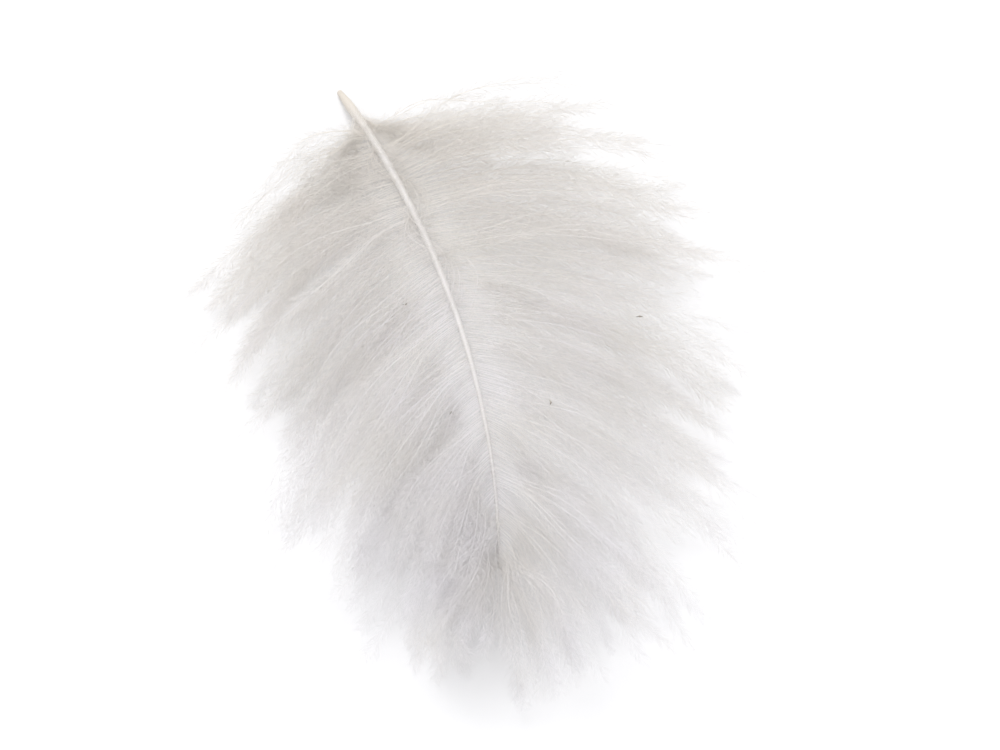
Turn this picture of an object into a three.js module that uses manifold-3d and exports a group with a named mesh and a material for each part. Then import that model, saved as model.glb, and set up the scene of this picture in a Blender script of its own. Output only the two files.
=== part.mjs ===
// A single white cul de canard feather: a small downy feather from beside a duck's preen gland, lying on a
// table with its hollow side down. Units are millimetres and +Z is up. The origin is on the table, under the
// middle of the feather. The quill points away, towards +Y, and the tip comes forward, towards -Y.
import * as THREE from "three";
import { mergeVertices } from "three/addons/utils/BufferGeometryUtils.js";
import Module from "manifold-3d";

// The shaft's centreline is one cubic curve. It swings to the right, and arches over the table.
const QUILL_BASE = new THREE.Vector3(-13.15, 28.5, 0.2);
const QUILL_PULL = new THREE.Vector3(-6.15, 14.5, 6.4);
const TIP_PULL = new THREE.Vector3(0.95, -1.7, 5.8);
const SHAFT_TIP = new THREE.Vector3(0.75, -17.7, 3.0);
const QUILL_RADIUS = 0.46;
const SHAFT_TIP_RADIUS = 0.13;
const ROOT_END_NARROWS_TO = 0.55;
const ROOT_END_SHARE = 0.06;
const SHAFT_TAPER_POWER = 0.8;
const SHAFT_SIDES = 8;
const SHAFT_STEPS = 28;

// The locks, each a tuft of barbs, grow from the shaft in two rows and fan out beyond its tip.
const FIRST_LOCK_AT = 0.13;
const LOCKS_PER_SIDE = 31;
const LONGEST_LOCK = 25;
const BASE_LOCK = 7;
const TIP_LOCK = 11;
const LENGTH_PEAK_POWER = 0.72;
const LENGTH_FULLNESS = 0.8;
const LEFT_LENGTH = 0.965;
const RIGHT_LENGTH = 1.06;

// A lock's angles from the shaft, in degrees: where it leaves the shaft, and where it has swept round to.
const BASE_LEAVING_ANGLE = 98;
const TIP_LEAVING_ANGLE = 36;
const BASE_SWEPT_ANGLE = 74;
const TIP_SWEPT_ANGLE = 13;
const ANGLE_POWER = 1.05;

// A lock's centreline is one cubic curve: these shares of its length lie between its four points. The
// highest locks reach as high as the topmost of their barbs.
const SHOULDER_SHARE = 0.34;
const BEND_SHARE = 0.36;
const TIP_SHARE = 0.3;
const LEAST_ARCH = 1.0;
const MOST_ARCH = 3.8;
const LOW_BEND = 0.62;
const HIGHEST_BEND = 9.2;
const HIGHEST_TIP = 12.2;

// A lock's section is an oval. It swells from the root to the middle, then narrows evenly to a point.
const LOCK_SIDES = 5;
const LOCK_STEPS = 7;
const LOCK_HALF_WIDTH = 1.5;
const LOCK_HALF_THICKNESS = 0.46;
const ROOT_SWELL = 0.4;
const MIDDLE_SWELL = 1.7;
const SWELLS_UNTIL = 0.5;
const SHORT_LOCK_WIDTH = 0.74;

// What varies from lock to lock: shares of its length and width, and degrees of its angles.
const LENGTH_VARIES = 0.13;
const WIDTH_VARIES = 0.22;
const TURN_VARIES = 6;
const CURL_VARIES = 17;
const ROLL_VARIES = 28;
const LYING_SHARE = 0.3;
const SALT = { length: 1, turn: 2, lift: 3, curl: 4, width: 5, roll: 6 };
const SCATTER_BY_INDEX = 12.9898;
const SCATTER_BY_SALT = 78.233;
const SCATTER_SCALE = 43758.5453;

const MERGE_WITHIN = 1e-4;

const UP = new THREE.Vector3(0, 0, 1);
const { clamp, degToRad, lerp, smoothstep } = THREE.MathUtils;
const shaftLine = new THREE.CubicBezierCurve3(QUILL_BASE, QUILL_PULL, TIP_PULL, SHAFT_TIP);

const wasm = await Module();
wasm.setup();

// A repeatable number from 0 to 1 that differs for each lock and each salt.
function scatter(index, salt) {
  const wave = Math.sin(index * SCATTER_BY_INDEX + salt * SCATTER_BY_SALT) * SCATTER_SCALE;
  return wave - Math.floor(wave);
}

// The same as scatter, from -1 to 1.
function spread(index, salt) {
  return 2 * scatter(index, salt) - 1;
}

// Bends a unit cylinder or cone, standing on Y, along a curve. halfWidth and halfThickness give the half
// axes of its oval section at each share of the way along, and roll turns the section about the curve.
function bendAlong(geometry, curve, halfWidth, halfThickness, roll = 0) {
  const position = geometry.getAttribute("position");
  const point = new THREE.Vector3();
  const side = new THREE.Vector3();
  const under = new THREE.Vector3();
  for (let i = 0; i < position.count; i += 1) {
    const along = clamp(position.getY(i) + 0.5, 0, 1);
    const tangent = curve.getTangent(along);
    side.crossVectors(UP, tangent).normalize().applyAxisAngle(tangent, roll * along);
    under.crossVectors(side, tangent);
    curve.getPoint(along, point);
    point.addScaledVector(side, position.getX(i) * halfWidth(along));
    point.addScaledVector(under, position.getZ(i) * halfThickness(along));
    position.setXYZ(i, point.x, point.y, Math.max(point.z, 0));
  }
  return geometry;
}

// A closed three.js geometry as a solid.
function solidOf(geometry) {
  geometry.deleteAttribute("normal");
  geometry.deleteAttribute("uv");
  const merged = mergeVertices(geometry, MERGE_WITHIN);
  return new wasm.Manifold(
    new wasm.Mesh({
      numProp: 3,
      vertProperties: merged.getAttribute("position").array,
      triVerts: new Uint32Array(merged.index.array),
    }),
  );
}

// The shaft's radius: a narrowed root end, a stout quill, then an even taper to the tip.
function shaftRadius(along) {
  const rootEnd = lerp(ROOT_END_NARROWS_TO, 1, smoothstep(along, 0, ROOT_END_SHARE));
  return rootEnd * lerp(QUILL_RADIUS, SHAFT_TIP_RADIUS, along ** SHAFT_TAPER_POWER);
}

function shaft() {
  const tube = new THREE.CylinderGeometry(1, 1, 1, SHAFT_SIDES, SHAFT_STEPS);
  return solidOf(bendAlong(tube, shaftLine, shaftRadius, shaftRadius));
}

// How long a lock is, by its share of the way from the lowest lock to the tip.
function lockLength(share) {
  const bulge = Math.sin(Math.PI * share ** LENGTH_PEAK_POWER) ** LENGTH_FULLNESS;
  return lerp(lerp(BASE_LOCK, TIP_LOCK, share), LONGEST_LOCK, bulge);
}

// The centreline of one lock: it leaves the shaft, arches up, sweeps towards the feather's tip, and comes
// down again to the table or to a height of its own. hand is 1 for the right side and -1 for the left.
function lockLine(index, share, hand) {
  const along = lerp(FIRST_LOCK_AT, 1, share);
  const root = shaftLine.getPoint(along);
  const forward = shaftLine.getTangent(along).setZ(0).normalize();
  const outward = new THREE.Vector3(-forward.y, forward.x, 0).multiplyScalar(hand);
  const sideLength = hand > 0 ? RIGHT_LENGTH : LEFT_LENGTH;
  const length = lockLength(share) * sideLength * (1 + LENGTH_VARIES * spread(index, SALT.length));
  const fade = (1 - share) ** ANGLE_POWER;
  const turn = TURN_VARIES * spread(index, SALT.turn);
  const curl = CURL_VARIES * spread(index, SALT.curl);
  const leaving = lerp(TIP_LEAVING_ANGLE, BASE_LEAVING_ANGLE, fade) + turn;
  const swept = lerp(TIP_SWEPT_ANGLE, BASE_SWEPT_ANGLE, fade) + turn;
  const lift = Math.max(lerp(-LYING_SHARE, 1, scatter(index, SALT.lift)), 0) ** 2;

  const reach = (from, degrees, lengthShare, height) =>
    from
      .clone()
      .addScaledVector(forward, Math.cos(degToRad(degrees)) * length * lengthShare)
      .addScaledVector(outward, Math.sin(degToRad(degrees)) * length * lengthShare)
      .setZ(height);
  const shoulder = reach(root, leaving, SHOULDER_SHARE, root.z + lerp(LEAST_ARCH, MOST_ARCH, lift));
  const bend = reach(shoulder, swept, BEND_SHARE, lerp(root.z * LOW_BEND, HIGHEST_BEND, lift));
  const tip = reach(bend, swept + curl, TIP_SHARE, lerp(0, HIGHEST_TIP, lift));
  return new THREE.CubicBezierCurve3(root, shoulder, bend, tip);
}

function lock(index, share, hand) {
  const cone = new THREE.ConeGeometry(1, 1, LOCK_SIDES, LOCK_STEPS);
  const byLength = lerp(SHORT_LOCK_WIDTH, 1, lockLength(share) / LONGEST_LOCK);
  const breadth = byLength * (1 + WIDTH_VARIES * spread(index, SALT.width));
  const swell = (along) => breadth * lerp(ROOT_SWELL, MIDDLE_SWELL, smoothstep(along, 0, SWELLS_UNTIL));
  const bent = bendAlong(
    cone,
    lockLine(index, share, hand),
    (along) => LOCK_HALF_WIDTH * swell(along),
    (along) => LOCK_HALF_THICKNESS * swell(along),
    degToRad(ROLL_VARIES * spread(index, SALT.roll)),
  );
  return solidOf(bent);
}

// The shaft with a row of locks on each side, and one lock that carries its tip on.
function feather() {
  let whole = shaft();
  for (const hand of [-1, 1]) {
    for (let k = 0; k < LOCKS_PER_SIDE; k += 1) {
      whole = whole.add(lock(hand * (k + 1), (k + 0.5) / LOCKS_PER_SIDE, hand));
    }
  }
  return whole.add(lock(0, 1, 1));
}

const mesh = feather().getMesh();
const geometry = new THREE.BufferGeometry();
geometry.setAttribute("position", new THREE.BufferAttribute(mesh.vertProperties, 3));
geometry.setIndex(new THREE.BufferAttribute(mesh.triVerts, 1));
geometry.computeVertexNormals();

const whiteDown = new THREE.MeshStandardMaterial({ color: 0xf1ece6, roughness: 0.85, metalness: 0 });
const featherMesh = new THREE.Mesh(geometry, whiteDown);
featherMesh.name = "feather";

const part = new THREE.Group();
part.add(featherMesh);

export default part;
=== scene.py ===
"""A white cul de canard feather, dressed barb by barb.

The feather is a small downy one from beside a duck's preen gland. It lies on a pale floor with its hollow
side down, the bare quill away from the camera and the tip towards it. The barbs gather in locks, and each
barb carries fine barbules on both sides, which give the feather its silky, hazy look.

Sizes are kept in millimetres as fields of the classes, and are turned to metres where a mesh is made.
"""
import logging
import math
from dataclasses import dataclass, field
from enum import Enum

import bpy
import numpy as np
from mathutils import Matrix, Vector
from numpy.typing import NDArray


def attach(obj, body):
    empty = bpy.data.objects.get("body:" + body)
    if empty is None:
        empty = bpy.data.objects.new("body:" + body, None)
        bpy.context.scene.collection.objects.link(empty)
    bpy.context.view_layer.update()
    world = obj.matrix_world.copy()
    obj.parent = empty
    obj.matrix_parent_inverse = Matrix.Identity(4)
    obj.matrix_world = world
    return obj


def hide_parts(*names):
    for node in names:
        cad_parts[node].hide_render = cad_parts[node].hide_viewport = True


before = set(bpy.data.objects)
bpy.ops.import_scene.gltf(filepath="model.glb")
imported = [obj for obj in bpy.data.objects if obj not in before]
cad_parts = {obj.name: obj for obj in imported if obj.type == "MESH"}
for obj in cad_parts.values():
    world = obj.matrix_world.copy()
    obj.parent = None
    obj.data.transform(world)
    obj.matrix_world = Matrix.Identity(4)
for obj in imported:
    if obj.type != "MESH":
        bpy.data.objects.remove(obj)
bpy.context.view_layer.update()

Array = NDArray[np.float64]

LOG = logging.getLogger("feather")
MM = 0.001
TINY = 1e-12
UP = np.array([0.0, 0.0, 1.0])
BODY = "root"
NODE = "feather"
PLAN_MAP = "OFBake"

SCATTER_BY_INDEX = 12.9898
SCATTER_BY_SALT = 78.233
SCATTER_SCALE = 43758.5453

# The mottling is a slow noise, whose fineness is per metre. It gives no shade below the first value and full
# shade above the second.
MOTTLE_SCALE = 170.0
MOTTLE_DETAIL = 3.0
MOTTLE_FROM = 0.38
MOTTLE_FULL = 0.68

# A colour mix's sockets: its two colours and its result.
MIX_A, MIX_B, MIX_RESULT = 6, 7, 2

# A shader mix's sockets for its two surfaces.
SURFACE_A, SURFACE_B = 1, 2


class Hand(Enum):
    """The side of the shaft that a lock grows on, seen from above with the tip towards the viewer."""

    LEFT = -1
    RIGHT = 1


class Salt(Enum):
    """What a scattered number is for. The values are the solid's own, so that the locks fall alike."""

    LENGTH = 1
    TURN = 2
    LIFT = 3
    CURL = 4
    WIDTH = 5
    ROLL = 6


def lerp(low: Array | float, high: Array | float, share: Array | float) -> Array | float:
    """The value that lies a share of the way from low to high."""
    return low + (high - low) * share


def smoothstep(value: Array | float, low: float, high: float) -> Array:
    """A smooth rise from 0 at low to 1 at high: 3t^2 - 2t^3 of the share t of the way between them."""
    share = np.clip((value - low) / (high - low), 0.0, 1.0)
    return share * share * (3.0 - 2.0 * share)


def unit(vectors: Array) -> Array:
    """The same directions with a length of one."""
    return vectors / np.maximum(np.linalg.norm(vectors, axis=-1, keepdims=True), TINY)


def scatter(index: Array, salt: Salt) -> Array:
    """Repeatable numbers from 0 to 1: the fraction in a large multiple of a sine of index and salt."""
    wave = np.sin(index * SCATTER_BY_INDEX + salt.value * SCATTER_BY_SALT) * SCATTER_SCALE
    return wave - np.floor(wave)


def spread(index: Array, salt: Salt) -> Array:
    """The same as scatter, from -1 to 1."""
    return 2.0 * scatter(index, salt) - 1.0


@dataclass(frozen=True)
class Curves:
    """A batch of cubic Bezier curves.

    control holds four points for each curve, in an array of (curves, 4, 3).
    """

    control: Array

    def at(self, along: Array) -> Array:
        """Points on the curves: the control points weighed by the four cubic Bernstein polynomials.

        Args:
            along: shares of the way along each curve, as (curves, steps).

        Returns:
            The points, as (curves, steps, 3).
        """
        rest = 1.0 - along
        weights = np.stack([rest**3, 3 * along * rest**2, 3 * along**2 * rest, along**3], axis=-1)
        return np.einsum("nsk,nkd->nsd", weights, self.control)

    def heading(self, along: Array) -> Array:
        """Unit tangents: the steps between control points weighed by the quadratic Bernstein polynomials.

        Args:
            along: shares of the way along each curve, as (curves, steps).

        Returns:
            The tangents, as (curves, steps, 3).
        """
        rest = 1.0 - along
        weights = np.stack([rest**2, 2 * along * rest, along**2], axis=-1)
        return unit(np.einsum("nsk,nkd->nsd", weights, np.diff(self.control, axis=1)))


@dataclass
class Skin:
    """The vertices and triangles of one closed mesh, or of many joined in one array."""

    vertices: Array
    triangles: NDArray[np.int64]

    @staticmethod
    def repeated(vertices: Array, triangles: NDArray[np.int64]) -> "Skin":
        """Joins many shapes that have the same faces.

        Args:
            vertices: one row of points for each shape, as (shapes, points, 3).
            triangles: the faces of one shape, as (faces, 3).

        Returns:
            One skin with every shape in it.
        """
        shapes, points = vertices.shape[:2]
        starts = np.arange(shapes)[:, None, None] * points
        return Skin(vertices.reshape(-1, 3), (triangles[None] + starts).reshape(-1, 3))


def tubes(centre: Array, side: Array, over: Array, radius: Array, sides: int) -> Skin:
    """Closed tubes that follow paths.

    Each step has a ring of points, centre + radius * (side * cos(a) + over * sin(a)) for evenly spaced
    angles a. Neighbouring rings are joined by triangles, and a fan to the centre closes each end.

    Args:
        centre: the paths, as (tubes, steps, 3).
        side: unit vectors across the paths.
        over: unit vectors across the paths, square to side, so that side x over points along the path.
        radius: the radius at each step, and at each angle if it has a third axis.
        sides: how many points a ring has.

    Returns:
        One skin with every tube in it.
    """
    count, steps = centre.shape[:2]
    angle = 2 * np.pi * np.arange(sides) / sides
    around = side[:, :, None] * np.cos(angle)[:, None] + over[:, :, None] * np.sin(angle)[:, None]
    if radius.ndim == 2:
        radius = radius[:, :, None]
    rings = centre[:, :, None] + radius[..., None] * around
    ends = centre[:, [0, -1]]
    vertices = np.concatenate([rings.reshape(count, steps * sides, 3), ends], axis=1)

    here = np.arange(sides)
    after = (here + 1) % sides
    start = np.arange(steps - 1)[:, None] * sides
    near, near_next = start + here, start + after
    far, far_next = near + sides, near_next + sides
    wall = [np.stack([near, near_next, far_next], -1), np.stack([near, far_next, far], -1)]
    root, tip = steps * sides, steps * sides + 1
    last = (steps - 1) * sides
    root_fan = np.stack([np.full(sides, root), after, here], -1)
    tip_fan = np.stack([np.full(sides, tip), last + here, last + after], -1)
    faces = np.concatenate([wall[0].reshape(-1, 3), wall[1].reshape(-1, 3), root_fan, tip_fan])
    return Skin.repeated(vertices, faces)


def spindles(root: Array, middle: Array, tip: Array, radius: Array) -> Skin:
    """Bent spindles, each a point, a small triangle at its middle and another point.

    The triangle lies square to the line from root to tip: middle + radius * (side * cos(a) + over * sin(a))
    for three angles a.

    Args:
        root: the points that the spindles start from, as (spindles, 3).
        middle: where they are thickest.
        tip: the points that they end in.
        radius: how thick they are there, as (spindles,).

    Returns:
        One skin with every spindle in it.
    """
    heading = unit(tip - root)
    side = unit(np.cross(UP, heading))
    over = np.cross(heading, side)
    angle = 2 * np.pi * np.arange(3) / 3
    around = side[:, None] * np.cos(angle)[:, None] + over[:, None] * np.sin(angle)[:, None]
    ring = middle[:, None] + radius[:, None, None] * around
    vertices = np.concatenate([root[:, None], ring, tip[:, None]], axis=1)
    faces = np.array([[0, 2, 1], [0, 3, 2], [0, 1, 3], [4, 1, 2], [4, 2, 3], [4, 3, 1]])
    return Skin.repeated(vertices, faces)


@dataclass
class Shaft:
    """The quill and the shaft that it runs into: one cubic curve with a round section.

    The bare quill is the end at along = 0. Beyond it the shaft has a shallow groove along its underside.
    """

    quill_base: tuple[float, float, float] = (-13.15, 28.5, 0.2)
    quill_pull: tuple[float, float, float] = (-6.15, 14.5, 6.4)
    tip_pull: tuple[float, float, float] = (0.95, -1.7, 5.8)
    tip: tuple[float, float, float] = (0.75, -17.7, 3.0)
    quill_radius: float = 0.46
    tip_radius: float = 0.13
    root_end_narrows_to: float = 0.55
    root_end_share: float = 0.06
    taper_power: float = 0.8
    rounding_share: float = 0.008
    bluntness: float = 0.02
    tip_runs_out_over: float = 0.09
    tip_runs_out_to: float = 0.3
    groove_depth: float = 0.28
    groove_width: float = 0.5
    groove_from: float = 0.14
    groove_deepens_over: float = 0.06
    sides: int = 20
    steps: int = 150
    steps_ease: float = 0.6
    lowest: float = 0.03

    def line(self) -> Curves:
        """The centreline, as a batch of one curve."""
        return Curves(np.array([[self.quill_base, self.quill_pull, self.tip_pull, self.tip]]))

    def radius(self, along: Array) -> Array:
        """The radius: a narrowed root end, a stout quill, then an even taper to the tip."""
        root_end = lerp(self.root_end_narrows_to, 1.0, smoothstep(along, 0.0, self.root_end_share))
        return root_end * lerp(self.quill_radius, self.tip_radius, along**self.taper_power)

    def skin(self) -> Skin:
        """The shaft's surface.

        The radius is rounded off at both ends as a quarter of an ellipse, and the last of the shaft runs
        out finely between the barbs. The groove takes a bell-shaped bite, depth * exp(-(angle / width)^2),
        from the underside, from the end of the bare quill on. The steps lie a little closer at the ends.

        Returns:
            A closed skin, in millimetres.
        """
        along = smoothstep(np.linspace(0.0, 1.0, self.steps), -self.steps_ease, 1.0 + self.steps_ease)
        along = ((along - along[0]) / (along[-1] - along[0]))[None]
        line = self.line()
        heading = line.heading(along)
        side = unit(np.cross(UP, heading))
        over = np.cross(heading, side)
        from_end = np.minimum(along, 1.0 - along) / self.rounding_share
        rounding = np.sqrt(1.0 - (1.0 - np.clip(from_end, self.bluntness, 1.0)) ** 2)
        rounding *= lerp(self.tip_runs_out_to, 1.0, smoothstep(1.0 - along, 0.0, self.tip_runs_out_over))
        angle = 2 * np.pi * np.arange(self.sides) / self.sides
        from_under = np.abs((angle + np.pi / 2 + np.pi) % (2 * np.pi) - np.pi)
        bite = self.groove_depth * np.exp(-((from_under / self.groove_width) ** 2))
        deepens = smoothstep(along, self.groove_from, self.groove_from + self.groove_deepens_over)
        radius = (self.radius(along) * rounding)[..., None] * (1.0 - deepens[..., None] * bite)
        skin = tubes(line.at(along), side, over, radius, self.sides)
        skin.vertices[:, 2] = np.maximum(skin.vertices[:, 2], self.lowest)
        return skin


@dataclass(frozen=True)
class Tufts:
    """A set of small tufts that grow from an even row of roots, on the right and the left by turns.

    Each pair of numbers runs from the tuft nearest the quill to the furthest one, and a set of one tuft has
    the first. bends holds the direction of a tuft's three reaches as shares of its leaving angle, and rises
    how far above its root each one ends.
    """

    count: int
    roots: tuple[float, float]
    leaving: tuple[float, float]
    length: tuple[float, float]
    bends: tuple[float, float, float]
    rises: tuple[float, float, float]
    breadth: float
    fluff: float


@dataclass
class Locks:
    """The plan of the locks that the barbs gather in.

    It follows the solid's own plan. The solid's locks are a little longer and the highest rise further,
    because they take in the barbules that stand out from the barbs. The plan also has small tufts that the
    solid leaves out: a cuff, which opens from the quill as a wedge, wisps that cross over the shaft, and
    one that closes the split at the feather's tip. Angles are in degrees from the shaft. The lengths along
    one lock's centreline are shares of its length.
    """

    shaft: Shaft
    first_at: float = 0.13
    per_side: int = 31
    longest: float = 25.0
    base_length: float = 7.0
    tip_length: float = 11.0
    peak_power: float = 0.72
    fullness: float = 0.8
    side_length: dict[Hand, float] = field(default_factory=lambda: {Hand.LEFT: 0.92, Hand.RIGHT: 1.06})
    base_leaving: float = 98.0
    tip_leaving: float = 36.0
    base_swept: float = 74.0
    tip_swept: float = 13.0
    angle_power: float = 1.05
    shoulder_share: float = 0.34
    bend_share: float = 0.36
    tip_share: float = 0.3
    least_arch: float = 1.0
    most_arch: float = 3.8
    low_bend: float = 0.62
    highest_bend: float = 8.8
    highest_tip: float = 9.2
    half_width: float = 1.5
    half_thickness: float = 0.46
    root_swell: float = 0.4
    middle_swell: float = 1.7
    swells_until: float = 0.5
    short_width: float = 0.74
    length_varies: float = 0.13
    width_varies: float = 0.22
    turn_varies: float = 6.0
    curl_varies: float = 17.0
    roll_varies: float = 28.0
    lying_share: float = 0.3
    base_fluff: float = 0.55
    full_fluff_from: float = 0.14
    cuff: Tufts = Tufts(
        count=8,
        roots=(0.075, 0.13),
        leaving=(12.0, 62.0),
        length=(8.0, 13.0),
        bends=(1.0, 0.8, 0.6),
        rises=(0.9, 1.8, 2.2),
        breadth=0.36,
        fluff=0.6,
    )
    wisps: Tufts = Tufts(
        count=4,
        roots=(0.16, 0.415),
        leaving=(44.0, 53.0),
        length=(10.0, 13.75),
        bends=(-0.7, 0.55, 1.3),
        rises=(1.1, 1.7, 0.9),
        breadth=0.6,
        fluff=0.45,
    )
    tip_tuft: Tufts = Tufts(
        count=1,
        roots=(0.955, 0.955),
        leaving=(13.0, 13.0),
        length=(11.2, 11.2),
        bends=(-1.0, -0.9, -0.7),
        rises=(0.7, -0.7, -2.1),
        breadth=1.0,
        fluff=1.0,
    )

    def __post_init__(self) -> None:
        """Works out each lock's number, place, side, centreline, breadth, roll and share of barbules."""
        steps = np.arange(self.per_side)
        shares = (steps + 0.5) / self.per_side
        self.index = np.concatenate([-(steps + 1), steps + 1, [0]]).astype(float)
        self.share = np.concatenate([shares, shares, [1.0]])
        self.hand = np.concatenate([np.full(self.per_side, h.value) for h in Hand] + [[Hand.RIGHT.value]])
        self.along = lerp(self.first_at, 1.0, self.share)
        by_length = lerp(self.short_width, 1.0, self.typical_length() / self.longest)
        self.breadth = by_length * (1.0 + self.width_varies * spread(self.index, Salt.WIDTH))
        self.fluff = lerp(self.base_fluff, 1.0, smoothstep(self.share, 0.0, self.full_fluff_from))
        self.lines = Curves(self.vane())
        for tufts in (self.cuff, self.wisps, self.tip_tuft):
            self.add(tufts)
        self.roll = np.radians(self.roll_varies * spread(self.index, Salt.ROLL))

    def typical_length(self) -> Array:
        """How long the locks are before they vary.

        An even change from the first lock's length to the tip lock's is drawn towards the longest by a
        bulge, sin(pi * share^peak)^fullness.

        Returns:
            One length for each lock, in millimetres.
        """
        bulge = np.maximum(np.sin(np.pi * self.share**self.peak_power), 0.0) ** self.fullness
        return lerp(lerp(self.base_length, self.tip_length, self.share), self.longest, bulge)

    def vane(self) -> Array:
        """The four points of the centreline of each lock that the solid has: root, shoulder, bend and tip.

        A lock leaves the shaft at one angle, arches up, sweeps towards the feather's tip, and comes down to
        the floor or to a height of its own.

        Returns:
            The points, as (locks, 4, 3).
        """
        side_length = np.where(
            self.hand == Hand.RIGHT.value, self.side_length[Hand.RIGHT], self.side_length[Hand.LEFT]
        )
        varied = 1.0 + self.length_varies * spread(self.index, Salt.LENGTH)
        length = self.typical_length() * side_length * varied
        fade = (1.0 - self.share) ** self.angle_power
        turn = self.turn_varies * spread(self.index, Salt.TURN)
        curl = self.curl_varies * spread(self.index, Salt.CURL)
        leaving = lerp(self.tip_leaving, self.base_leaving, fade) + turn
        swept = lerp(self.tip_swept, self.base_swept, fade) + turn
        lift = np.maximum(lerp(-self.lying_share, 1.0, scatter(self.index, Salt.LIFT)), 0.0) ** 2
        root_height = self.shaft.line().at(self.along[None])[0, :, 2]
        shoulder = root_height + lerp(self.least_arch, self.most_arch, lift)
        bend = lerp(root_height * self.low_bend, self.highest_bend, lift)
        tip = lerp(0.0, self.highest_tip, lift)
        angles = np.stack([leaving, swept, swept + curl])
        return self.centrelines(self.along, self.hand, length, angles, np.stack([shoulder, bend, tip]))

    def add(self, tufts: Tufts) -> None:
        """Adds a set of tufts to the locks, numbered on from them.

        Args:
            tufts: the set.
        """
        number = np.arange(tufts.count)
        up = number / max(tufts.count - 1, 1)
        hand = np.where(number % 2 == 0, 1.0, -1.0)
        index = hand * (len(self.index) + number)
        along = lerp(*tufts.roots, up)
        leaving = lerp(*tufts.leaving, up) + self.turn_varies * spread(index, Salt.TURN)
        length = lerp(*tufts.length, up) * (1.0 + self.length_varies * spread(index, Salt.LENGTH))
        angles = np.outer(tufts.bends, leaving)
        angles[-1] += self.curl_varies * spread(index, Salt.CURL)
        heights = self.shaft.line().at(along[None])[0, :, 2] + np.array(tufts.rises)[:, None]
        added = self.centrelines(along, hand, length, angles, heights)
        share = np.clip((along - self.first_at) / (1.0 - self.first_at), 0.0, 1.0)
        self.index = np.concatenate([self.index, index])
        self.share = np.concatenate([self.share, share])
        self.hand = np.concatenate([self.hand, hand])
        self.along = np.concatenate([self.along, along])
        self.lines = Curves(np.concatenate([self.lines.control, added]))
        self.breadth = np.concatenate([self.breadth, np.full(tufts.count, tufts.breadth)])
        self.fluff = np.concatenate([self.fluff, np.full(tufts.count, tufts.fluff)])

    def centrelines(
        self,
        along: Array,
        hand: Array,
        length: Array,
        angles: Array,
        heights: Array,
    ) -> Array:
        """Cubic centrelines, each stepped off from its root in three straight reaches.

        Args:
            along: where on the shaft each root is.
            hand: 1 for the right side of the shaft and -1 for the left.
            length: each lock's length.
            angles: the direction of each reach, in degrees from the shaft, as (3, locks).
            heights: the height that each reach ends at, as (3, locks).

        Returns:
            The four points of each curve, as (locks, 4, 3).
        """
        shaft = self.shaft.line()
        points = [shaft.at(along[None])[0]]
        forward = unit(shaft.heading(along[None])[0] * (1.0, 1.0, 0.0))
        outward = np.stack([-forward[:, 1], forward[:, 0], np.zeros(len(forward))], -1) * hand[:, None]
        shares = (self.shoulder_share, self.bend_share, self.tip_share)
        for degrees, height, share in zip(angles, heights, shares):
            angle = np.radians(degrees)[:, None]
            heading = forward * np.cos(angle) + outward * np.sin(angle)
            moved = points[-1] + heading * length[:, None] * share
            points.append(np.concatenate([moved[:, :2], height[:, None]], axis=1))
        return np.stack(points, axis=1)

    def swell(self, along: Array) -> Array:
        """How broad a lock is: it widens smoothly from its root to its middle."""
        return lerp(self.root_swell, self.middle_swell, smoothstep(along, 0.0, self.swells_until))


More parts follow.
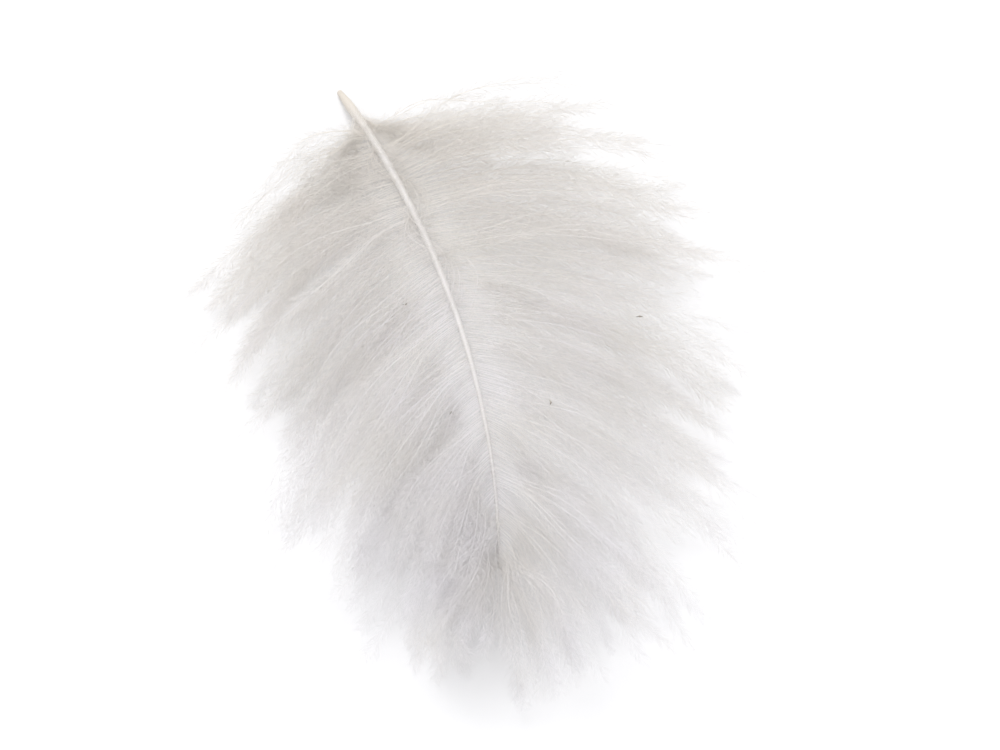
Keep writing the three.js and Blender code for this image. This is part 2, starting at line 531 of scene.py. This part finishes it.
@dataclass
class Barbs:
    """The barbs of every lock: fine tapered hairs that grow from the shaft and run together in the lock.

    One array holds each fact about the barbs, with one entry for each barb.
    """

    locks: Locks
    per_lock: int = 8
    steps: int = 18
    sides: int = 3
    root_radius: float = 0.037
    tip_radius: float = 0.009
    joins_at: float = 0.3
    keeps_apart: float = 1.2
    across_varies: float = 0.16
    furthest_across: float = 1.1
    last_root: float = 0.995
    shortest_reach: float = 0.48
    longest_reach: float = 1.04
    reach_power: float = 0.75
    width_share: float = 0.8
    thickness_share: float = 2.0
    waves: tuple[float, float] = (0.6, 1.7)
    waver: float = 0.7
    least_waver: float = 0.35
    waver_grows: float = 1.5
    stray_share: float = 0.12
    stray_reach: float = 3.0
    floor_gap: float = 0.05
    seed: int = 11

    def __post_init__(self) -> None:
        """Deals the barbs out to the locks, and draws what varies from barb to barb."""
        draw = np.random.default_rng(self.seed)
        locks = len(self.locks.share)
        count = locks * self.per_lock
        self.lock = np.repeat(np.arange(locks), self.per_lock)
        places = np.tile(np.linspace(-1.0, 1.0, self.per_lock), locks)
        moved = draw.uniform(-self.across_varies, self.across_varies, count)
        self.across = np.clip(places + moved, -self.furthest_across, self.furthest_across)
        self.deep = draw.uniform(-1.0, 1.0, count)
        grown = draw.uniform(0.0, 1.0, count) ** self.reach_power
        self.reach = lerp(self.shortest_reach, self.longest_reach, grown)
        self.phase = draw.uniform(0.0, 1.0, (count, 2))
        self.wave_count = draw.uniform(*self.waves, (count, 2))
        self.wander = draw.uniform(self.least_waver, 1.0, (count, 2)) * self.waver
        is_stray = draw.uniform(0.0, 1.0, count) < self.stray_share
        self.stray = is_stray[:, None] * draw.uniform(-1.0, 1.0, (count, 2)) * self.stray_reach
        self.hand = self.locks.hand[self.lock]
        self.share = self.locks.share[self.lock]
        self.root_shift = self.shifts()

    def shifts(self) -> Array:
        """How far each barb's root is from its lock's, as the barbs stand evenly along the shaft.

        Returns:
            The way from the lock's root to the barb's, as (barbs, 3).
        """
        shaft = self.locks.shaft.line()
        half_step = (1.0 - self.locks.first_at) / self.locks.per_side / 2
        here = self.locks.along[self.lock]
        there = np.clip(here - self.hand * self.across * half_step, 0.0, self.last_root)
        return (shaft.at(there[None]) - shaft.at(here[None]))[0]

    def place(self, barb: NDArray[np.int64], along: Array) -> Array:
        """Where barbs pass.

        A barb starts on the shaft beside its lock's root. It joins the lock, where its own place across and
        through the lock is a share of the lock's half width and half thickness. Two slow sine waves, which
        grow towards the tip, make it waver, and a stray also swings away with the square of the distance.

        Args:
            barb: which barbs, as (barbs,).
            along: shares of the way along each of them, as (barbs, steps).

        Returns:
            The points, as (barbs, steps, 3).
        """
        lock = self.lock[barb]
        share = along * self.reach[barb][:, None]
        line = Curves(self.locks.lines.control[lock])
        inside = np.clip(share, 0.0, 1.0)
        heading = line.heading(inside)
        level = unit(np.cross(UP, heading))
        roll = (self.locks.roll[lock][:, None] * inside)[..., None]
        side = level * np.cos(roll) + np.cross(heading, level) * np.sin(roll)
        over = np.cross(heading, side)
        held = smoothstep(share, 0.0, self.joins_at)
        widening = lerp(1.0, self.keeps_apart, share)
        section = self.locks.breadth[lock][:, None] * self.locks.swell(share) * widening * held
        turn = 2 * np.pi * (share[..., None] * self.wave_count[barb][:, None] + self.phase[barb][:, None])
        wave = np.sin(turn) - np.sin(2 * np.pi * self.phase[barb])[:, None]
        drift = wave * self.wander[barb][:, None] * (share**self.waver_grows)[..., None]
        drift += self.stray[barb][:, None] * (share**2)[..., None]
        off_side = self.across[barb][:, None] * section * self.locks.half_width * self.width_share
        off_over = self.deep[barb][:, None] * section * self.locks.half_thickness * self.thickness_share
        point = line.at(inside) + self.root_shift[barb][:, None] * (1.0 - held)[..., None]
        point += side * (off_side + drift[..., 0])[..., None]
        point += over * (off_over + drift[..., 1])[..., None]
        point[..., 2] = np.maximum(point[..., 2], self.floor_gap)
        return point

    def heading(self, barb: NDArray[np.int64], along: Array) -> Array:
        """Unit tangents, from two points of each barb that are a hundredth of its length apart.

        Args:
            barb: which barbs, as (barbs,).
            along: shares of the way along each of them, as (barbs, steps).

        Returns:
            The tangents, as (barbs, steps, 3).
        """
        step = 0.005
        back = self.place(barb, np.clip(along - step, 0.0, 1.0))
        return unit(self.place(barb, np.clip(along + step, 0.0, 1.0)) - back)

    def lengths(self) -> Array:
        """Each barb's length, as the sum of its steps.

        Returns:
            The lengths in millimetres, as (barbs,).
        """
        everyone = np.arange(len(self.lock))
        along = np.tile(np.linspace(0.0, 1.0, self.steps), (len(everyone), 1))
        return np.linalg.norm(np.diff(self.place(everyone, along), axis=1), axis=-1).sum(1)

    def skin(self, chosen: NDArray[np.int64]) -> Skin:
        """The chosen barbs as tapered tubes, whose radius falls evenly from the root to the tip.

        Args:
            chosen: the barbs to make.

        Returns:
            One skin of closed tubes, in millimetres.
        """
        along = np.tile(np.linspace(0.0, 1.0, self.steps), (len(chosen), 1))
        heading = self.heading(chosen, along)
        side = unit(np.cross(UP, heading))
        over = np.cross(heading, side)
        radius = lerp(self.root_radius, self.tip_radius, along)
        return tubes(self.place(chosen, along), side, over, radius, self.sides)


@dataclass
class Barbules:
    """The fine threads on both sides of each barb. They are longest and loosest in the down by the quill."""

    barbs: Barbs
    base_length: float = 1.75
    tip_length: float = 1.35
    length_varies: float = 0.3
    shrinks_by: float = 0.15
    wisp_from: float = 0.88
    wisp_shrinks_by: float = 0.65
    crowds_outwards: float = 0.78
    radius: float = 0.0085
    least_angle: float = 26.0
    most_angle: float = 62.0
    base_roll: float = 62.0
    tip_roll: float = 34.0
    down_power: float = 1.2
    middle_at: float = 0.45
    sweep: float = 0.55
    straggle: float = 0.25
    starts_at: float = 0.03
    turns_back_until: float = 0.1
    turns_back_share: float = 0.6
    floor_gap: float = 0.02
    seed: int = 29

    def spots(
        self,
        draw: np.random.Generator,
        chosen: NDArray[np.int64],
        count: int,
    ) -> tuple[NDArray[np.int64], Array]:
        """Where barbules grow: spread over the whole length of the barbs, and a little denser further out.

        The barbs are laid end to end, each as long as it is times its lock's share of barbules. That row is
        cut into as many even steps as there are barbules, and each step has one, at a random place in it.

        Args:
            draw: the source of the random numbers.
            chosen: the barbs that carry the barbules.
            count: how many there are.

        Returns:
            The barb that each one grows on, and its share of the way along that barb.
        """
        fluff = self.barbs.locks.fluff[self.barbs.lock[chosen]]
        ends = np.cumsum(self.barbs.lengths()[chosen] * fluff)
        at = (np.arange(count) + draw.uniform(0.0, 1.0, count)) / count * ends[-1]
        which = np.minimum(np.searchsorted(ends, at), len(chosen) - 1)
        starts = np.concatenate([[0.0], ends[:-1]])[which]
        along = ((at - starts) / (ends[which] - starts)) ** self.crowds_outwards
        return chosen[which], lerp(self.starts_at, 1.0, along)

    def skin(self, chosen: NDArray[np.int64], count: int) -> Skin:
        """Barbules for the chosen barbs.

        A barbule leaves its barb at an angle, to the left and the right by turns, rolled about the barb by a
        random angle. Its middle lies that way, and its tip bends on towards the barb's tip. Beside the shaft
        many point back instead, and so cross over it. What would pass through the floor splays up from it,
        as if mirrored there.

        Args:
            chosen: the barbs that carry them.
            count: how many barbules to make.

        Returns:
            One skin of spindles, in millimetres.
        """
        draw = np.random.default_rng(self.seed + int(chosen[0]))
        barb, along = self.spots(draw, chosen, count)
        root = self.barbs.place(barb, along[:, None])[:, 0]
        heading = self.barbs.heading(barb, along[:, None])[:, 0]
        level = unit(np.cross(UP, heading))
        over = np.cross(heading, level)
        downy = (1.0 - self.barbs.share[barb]) ** self.down_power
        roll = np.radians(lerp(self.tip_roll, self.base_roll, downy)) * draw.normal(0.0, 1.0, count)
        turn = np.where(np.arange(count) % 2 == 0, 1.0, -1.0)
        out = level * (turn * np.cos(roll))[:, None] + over * np.sin(roll)[:, None]
        angle = np.radians(draw.uniform(self.least_angle, self.most_angle, count))[:, None]
        is_turner = draw.uniform(0.0, 1.0, count) < self.turns_back_share
        turns_back = is_turner & (along < self.turns_back_until)
        heading = heading * np.where(turns_back, -1.0, 1.0)[:, None]
        first = heading * np.cos(angle) + out * np.sin(angle)
        straggled = self.straggle * draw.normal(0.0, 1.0, (count, 3))
        second = unit(first + self.sweep * heading + straggled)

        size = lerp(self.tip_length, self.base_length, downy)
        size = size * (1.0 + self.length_varies * draw.uniform(-1.0, 1.0, count))
        fading = 1.0 - self.wisp_shrinks_by * smoothstep(along, self.wisp_from, 1.0)
        size = (size * fading * (1.0 - self.shrinks_by * along**2))[:, None]
        middle = root + first * size * self.middle_at
        tip = middle + second * size * (1.0 - self.middle_at)
        skin = spindles(root, middle, tip, self.radius * fading)
        skin.vertices[:, 2] = self.floor_gap + np.abs(skin.vertices[:, 2] - self.floor_gap)
        return skin


@dataclass
class Specks:
    """The few tiny, dull flakes of dirt that lie on the down."""

    barbs: Barbs
    places: tuple[tuple[float, float], ...] = ((-5.8, 4.9), (3.9, -5.7), (-1.9, -5.4), (11.4, 2.5))
    length: float = 0.58
    length_varies: tuple[float, float] = (0.6, 1.2)
    radius: float = 0.085
    bend: float = 0.5
    first_rise: float = 0.15
    second_rise: float = 0.2
    searches_within: float = 1.0
    searches_along: tuple[float, float, int] = (0.05, 0.95, 60)
    seed: int = 5

    def skin(self) -> Skin:
        """One bent spindle at each place, lying on the highest barb that passes within a millimetre.

        Returns:
            One skin of spindles, in millimetres.
        """
        draw = np.random.default_rng(self.seed)
        everyone = np.arange(len(self.barbs.lock))
        along = np.tile(np.linspace(*self.searches_along), (len(everyone), 1))
        passed = self.barbs.place(everyone, along).reshape(-1, 3)
        roots = []
        for x, y in self.places:
            apart = np.hypot(passed[:, 0] - x, passed[:, 1] - y)
            near = passed[apart <= max(self.searches_within, apart.min())]
            roots.append(near[near[:, 2].argmax()])
        root = np.array(roots)
        first = unit(draw.normal(0.0, 1.0, root.shape) * (1.0, 1.0, self.first_rise))
        swings = draw.normal(0.0, 1.0, root.shape) * (1.0, 1.0, self.second_rise)
        second = unit(first + self.bend * swings)
        half = self.length * draw.uniform(*self.length_varies, len(root))[:, None] / 2
        middle = root + first * half
        tip = middle + second * half
        return spindles(root, middle, tip, np.full(len(root), self.radius))


def color_mix(tree: bpy.types.NodeTree, share: bpy.types.NodeSocket) -> bpy.types.Node:
    """A node that mixes two colours.

    Args:
        tree: the node tree that it goes in.
        share: the socket that gives the second colour's share.

    Returns:
        The node, whose two colours are still to be given.
    """
    mix = tree.nodes.new("ShaderNodeMix")
    mix.data_type = "RGBA"
    tree.links.new(share, mix.inputs["Factor"])
    return mix


def principled(name: str, roughness: float) -> tuple[bpy.types.Material, bpy.types.Node]:
    """A new material with a Principled surface.

    Args:
        name: the material's name.
        roughness: the surface's roughness.

    Returns:
        The material and its surface node.
    """
    material = bpy.data.materials.new(name)
    material.use_nodes = True
    surface = material.node_tree.nodes["Principled BSDF"]
    surface.inputs["Roughness"].default_value = roughness
    return material, surface


def tone_group() -> bpy.types.NodeTree:
    """The colour that every part of the feather shares: cool white at the tip, warm white by the quill.

    The share of cream rises with the place along Y, from Cream From to Cream Full. A slow noise then moves
    the colour a little towards the shade, in soft patches. Built once.

    Returns:
        The node group, with one output, Color.
    """
    made = bpy.data.node_groups.get("feather_tone")
    if made:
        return made
    group = bpy.data.node_groups.new("feather_tone", "ShaderNodeTree")
    sockets = group.interface
    for name in ("White", "Cream", "Shade"):
        sockets.new_socket(name, in_out="INPUT", socket_type="NodeSocketColor")
    for name in ("Cream From", "Cream Full", "Mottle"):
        sockets.new_socket(name, in_out="INPUT", socket_type="NodeSocketFloat")
    sockets.new_socket("Color", in_out="OUTPUT", socket_type="NodeSocketColor")
    nodes, links = group.nodes, group.links
    given = nodes.new("NodeGroupInput")
    place = nodes.new("ShaderNodeTexCoord")
    split = nodes.new("ShaderNodeSeparateXYZ")
    links.new(place.outputs["Object"], split.inputs["Vector"])
    towards = nodes.new("ShaderNodeMapRange")
    towards.interpolation_type = "SMOOTHSTEP"
    links.new(split.outputs["Y"], towards.inputs["Value"])
    links.new(given.outputs["Cream From"], towards.inputs["From Min"])
    links.new(given.outputs["Cream Full"], towards.inputs["From Max"])
    creamy = color_mix(group, towards.outputs["Result"])
    links.new(given.outputs["White"], creamy.inputs[MIX_A])
    links.new(given.outputs["Cream"], creamy.inputs[MIX_B])
    noise = nodes.new("ShaderNodeTexNoise")
    noise.inputs["Scale"].default_value = MOTTLE_SCALE
    noise.inputs["Detail"].default_value = MOTTLE_DETAIL
    links.new(place.outputs["Object"], noise.inputs["Vector"])
    patchy = nodes.new("ShaderNodeMapRange")
    patchy.inputs["From Min"].default_value = MOTTLE_FROM
    patchy.inputs["From Max"].default_value = MOTTLE_FULL
    links.new(noise.outputs["Fac"], patchy.inputs["Value"])
    links.new(given.outputs["Mottle"], patchy.inputs["To Max"])
    mottled = color_mix(group, patchy.outputs["Result"])
    links.new(creamy.outputs[MIX_RESULT], mottled.inputs[MIX_A])
    links.new(given.outputs["Shade"], mottled.inputs[MIX_B])
    result = nodes.new("NodeGroupOutput")
    links.new(mottled.outputs[MIX_RESULT], result.inputs["Color"])
    return group


@dataclass(frozen=True)
class FeatherFinish:
    """A finish of the feather: its tones, its gloss, and how much light comes through it."""

    name: str
    white: tuple[float, float, float] = (0.98, 0.968, 0.984)
    cream: tuple[float, float, float] = (0.958, 0.934, 0.907)
    shade: tuple[float, float, float] = (0.95, 0.932, 0.903)
    cream_from: float = -24.0
    cream_full: float = 14.0
    mottle: float = 0.75
    roughness: float = 0.55
    sheen: float = 0.0
    coat: float = 0.0
    through: float = 0.45
    passes_shadow: float = 0.0

    def material(self) -> bpy.types.Material:
        """A Principled surface in the feather's tone, mixed with a Translucent one of the same colour.

        A barb is so fine that most light bends on past it, so a share of each shadow ray goes through.

        Returns:
            The new material.
        """
        material, surface = principled(self.name, self.roughness)
        nodes, links = material.node_tree.nodes, material.node_tree.links
        surface.inputs["Sheen Weight"].default_value = self.sheen
        surface.inputs["Coat Weight"].default_value = self.coat
        tone = nodes.new("ShaderNodeGroup")
        tone.node_tree = tone_group()
        tone.inputs["White"].default_value = (*self.white, 1.0)
        tone.inputs["Cream"].default_value = (*self.cream, 1.0)
        tone.inputs["Shade"].default_value = (*self.shade, 1.0)
        tone.inputs["Cream From"].default_value = self.cream_from * MM
        tone.inputs["Cream Full"].default_value = self.cream_full * MM
        tone.inputs["Mottle"].default_value = self.mottle
        links.new(tone.outputs["Color"], surface.inputs["Base Color"])
        glow = nodes.new("ShaderNodeBsdfTranslucent")
        links.new(tone.outputs["Color"], glow.inputs["Color"])
        both = nodes.new("ShaderNodeMixShader")
        both.inputs["Fac"].default_value = self.through
        links.new(surface.outputs["BSDF"], both.inputs[SURFACE_A])
        links.new(glow.outputs["BSDF"], both.inputs[SURFACE_B])
        ray = nodes.new("ShaderNodeLightPath")
        part = nodes.new("ShaderNodeMath")
        part.operation = "MULTIPLY"
        part.inputs[1].default_value = self.passes_shadow
        links.new(ray.outputs["Is Shadow Ray"], part.inputs[0])
        clear = nodes.new("ShaderNodeBsdfTransparent")
        airy = nodes.new("ShaderNodeMixShader")
        links.new(part.outputs["Value"], airy.inputs["Fac"])
        links.new(both.outputs["Shader"], airy.inputs[SURFACE_A])
        links.new(clear.outputs["BSDF"], airy.inputs[SURFACE_B])
        links.new(airy.outputs["Shader"], nodes["Material Output"].inputs["Surface"])
        return material


@dataclass(frozen=True)
class DirtFinish:
    """Dull, greyish dirt whose brown varies from grain to grain."""

    name: str = "dull_dirt"
    dark: tuple[float, float, float] = (0.24, 0.215, 0.18)
    light: tuple[float, float, float] = (0.46, 0.42, 0.36)
    grain: float = 4000.0
    roughness: float = 0.8

    def material(self) -> bpy.types.Material:
        """A Principled surface whose colour is mixed from dark and light by a fine noise.

        Returns:
            The new material.
        """
        material, surface = principled(self.name, self.roughness)
        nodes, links = material.node_tree.nodes, material.node_tree.links
        place = nodes.new("ShaderNodeTexCoord")
        noise = nodes.new("ShaderNodeTexNoise")
        noise.inputs["Scale"].default_value = self.grain
        links.new(place.outputs["Object"], noise.inputs["Vector"])
        brown = color_mix(material.node_tree, noise.outputs["Fac"])
        brown.inputs[MIX_A].default_value = (*self.dark, 1.0)
        brown.inputs[MIX_B].default_value = (*self.light, 1.0)
        links.new(brown.outputs[MIX_RESULT], surface.inputs["Base Color"])
        return material


@dataclass(frozen=True)
class FloorFinish:
    """The pale, matt floor."""

    name: str = "pale_floor"
    color: tuple[float, float, float] = (0.8, 0.8, 0.805)
    roughness: float = 0.9

    def material(self) -> bpy.types.Material:
        """A plain Principled surface.

        Returns:
            The new material.
        """
        material, surface = principled(self.name, self.roughness)
        surface.inputs["Base Color"].default_value = (*self.color, 1.0)
        return material


def mesh_object(name: str, skin: Skin, material: bpy.types.Material) -> bpy.types.Object:
    """Makes a smooth-shaded object from a skin, with a map that looks straight down on it.

    The map puts each corner at its place in the skin's box seen from above, so corners that lie one over
    another share a place, as they share a colour.

    Args:
        name: the object's name.
        skin: its vertices and triangles, in millimetres.
        material: its material.

    Returns:
        The object, at the origin, linked to the scene.
    """
    mesh = bpy.data.meshes.new(name)
    corners = skin.triangles.reshape(-1)
    mesh.vertices.add(len(skin.vertices))
    mesh.vertices.foreach_set("co", (skin.vertices * MM).ravel())
    mesh.loops.add(len(corners))
    mesh.loops.foreach_set("vertex_index", corners)
    mesh.polygons.add(len(skin.triangles))
    mesh.polygons.foreach_set("loop_start", np.arange(0, len(corners), 3))
    mesh.polygons.foreach_set("use_smooth", np.ones(len(skin.triangles), bool))
    low = skin.vertices[:, :2].min(0)
    span = np.ptp(skin.vertices[:, :2], axis=0)
    plan = mesh.uv_layers.new(name=PLAN_MAP)
    plan.uv.foreach_set("vector", ((skin.vertices[corners, :2] - low) / span).ravel())
    mesh.update(calc_edges=True)
    mesh.materials.append(material)
    made = bpy.data.objects.new(name, mesh)
    bpy.context.scene.collection.objects.link(made)
    return made


@dataclass
class Feather:
    """The whole feather: its shaft, its barbs, the barbules on them, and a little dirt.

    Each zone of barbules is a piece of its own on each side. It has a name, and the shares of the way along
    the vane that it lies between.
    """

    shaft: Shaft = field(default_factory=Shaft)
    barbules_per_piece: int = 24_800
    zones: tuple[tuple[str, float, float], ...] = (
        ("base", 0.0, 0.3),
        ("middle", 0.3, 0.62),
        ("tip", 0.62, 1.01),
    )
    down: FeatherFinish = FeatherFinish(
        "white_down",
        roughness=0.6,
        sheen=0.15,
        through=0.5,
        passes_shadow=0.7,
    )
    barb_horn: FeatherFinish = FeatherFinish(
        "silky_barb",
        cream=(0.96, 0.925, 0.87),
        cream_from=0.0,
        cream_full=28.0,
        roughness=0.5,
        coat=0.05,
        through=0.45,
        passes_shadow=0.65,
    )
    quill_horn: FeatherFinish = FeatherFinish(
        "quill_horn",
        white=(0.83, 0.81, 0.8),
        cream=(0.7, 0.64, 0.55),
        shade=(0.77, 0.745, 0.71),
        cream_from=19.0,
        cream_full=29.0,
        mottle=0.35,
        roughness=0.4,
        coat=0.12,
        through=0.25,
    )
    dirt: DirtFinish = DirtFinish()

    def __post_init__(self) -> None:
        """Plans the locks and the barbs."""
        self.locks = Locks(self.shaft)
        self.barbs = Barbs(self.locks)

    def build(self) -> None:
        """Makes every piece, and reports it."""
        self.add("shaft", self.shaft.skin(), self.quill_horn.material(), "quill")
        horn = self.barb_horn.material()
        down = self.down.material()
        barbules = Barbules(self.barbs)
        for hand in Hand:
            side = hand.name.lower()
            mine = np.flatnonzero(self.barbs.hand == hand.value)
            self.add(f"barbs_{side}", self.barbs.skin(mine), horn, "white_down")
            for zone, start, end in self.zones:
                share = self.barbs.share[mine]
                chosen = mine[(share >= start) & (share < end)]
                skin = barbules.skin(chosen, self.barbules_per_piece)
                self.add(f"barbules_{side}_{zone}", skin, down, "white_down")
        self.add("specks", Specks(self.barbs).skin(), self.dirt.material(), "white_down")

    def add(self, name: str, skin: Skin, material: bpy.types.Material, slot: str) -> None:
        """Makes one piece, which rides on the feather's body, and hides the feather's solid.

        Args:
            name: the piece's name.
            skin: its vertices and triangles, in millimetres.
            material: its material.
            slot: not used.
        """
        piece = mesh_object(name, skin, material)
        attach(piece, BODY)
        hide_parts(NODE)
        LOG.info("%s: %d triangles", name, len(skin.triangles))


@dataclass
class Studio:
    """The pale floor, the soft lights and the camera."""

    floor_width: float = 3000.0
    camera_elevation: float = 62.0
    camera_lens: float = 85.0
    sensor_width: float = 36.0
    frame_height: float = 60.0
    aim: tuple[float, float, float] = (0.85, -0.6, 2.5)
    picture: tuple[int, int] = (1000, 750)
    clip_times: float = 50.0
    key_from: tuple[float, float, float] = (-120.0, 260.0, 330.0)
    key_spread: float = 33.0
    key_strength: float = 1.95
    world_color: tuple[float, float, float] = (0.985, 0.985, 1.0)
    world_strength: float = 0.92

    def build(self) -> None:
        """Makes the stage in order."""
        self.floor()
        self.world()
        self.key_light()
        self.camera()
        bpy.context.scene.view_settings.view_transform = "Standard"

    def floor(self) -> None:
        """A square of floor under the feather."""
        half = self.floor_width / 2
        corners = np.array([[-half, -half, 0], [half, -half, 0], [half, half, 0], [-half, half, 0]], float)
        skin = Skin(corners, np.array([[0, 1, 2], [0, 2, 3]]))
        mesh_object("floor", skin, FloorFinish().material())

    def world(self) -> None:
        """An even, slightly cool light from all round."""
        world = bpy.data.worlds.new("soft_daylight")
        world.use_nodes = True
        background = world.node_tree.nodes["Background"]
        background.inputs["Color"].default_value = (*self.world_color, 1.0)
        background.inputs["Strength"].default_value = self.world_strength
        bpy.context.scene.world = world

    def key_light(self) -> None:
        """A far, broad, soft light from behind and above, as in the photograph's shading."""
        light = bpy.data.lights.new("key", "SUN")
        light.angle = math.radians(self.key_spread)
        light.energy = self.key_strength
        holder = bpy.data.objects.new("key", light)
        holder.location = Vector(self.key_from) * MM
        holder.rotation_euler = (-holder.location).to_track_quat("-Z", "Y").to_euler()
        bpy.context.scene.collection.objects.link(holder)

    def camera(self) -> None:
        """A long lens that looks steeply down along +Y, so far off that the feather fills the picture."""
        lens = bpy.data.cameras.new("camera")
        lens.lens = self.camera_lens
        lens.sensor_width = self.sensor_width
        sensor_height = self.sensor_width * self.picture[1] / self.picture[0]
        distance = self.frame_height / sensor_height * self.camera_lens * MM
        lens.clip_start = distance / self.clip_times
        lens.clip_end = distance * self.clip_times
        holder = bpy.data.objects.new("camera", lens)
        tilt = math.radians(self.camera_elevation)
        back = Vector((0.0, -math.cos(tilt), math.sin(tilt)))
        holder.location = Vector(self.aim) * MM + back * distance
        holder.rotation_euler = (-back).to_track_quat("-Z", "Y").to_euler()
        bpy.context.scene.collection.objects.link(holder)
        bpy.context.scene.camera = holder


def main() -> None:
    """Builds the studio and the feather."""
    logging.basicConfig(level=logging.INFO, format="%(message)s")
    Studio().build()
    Feather().build()


if __name__ == "__main__":
    main()
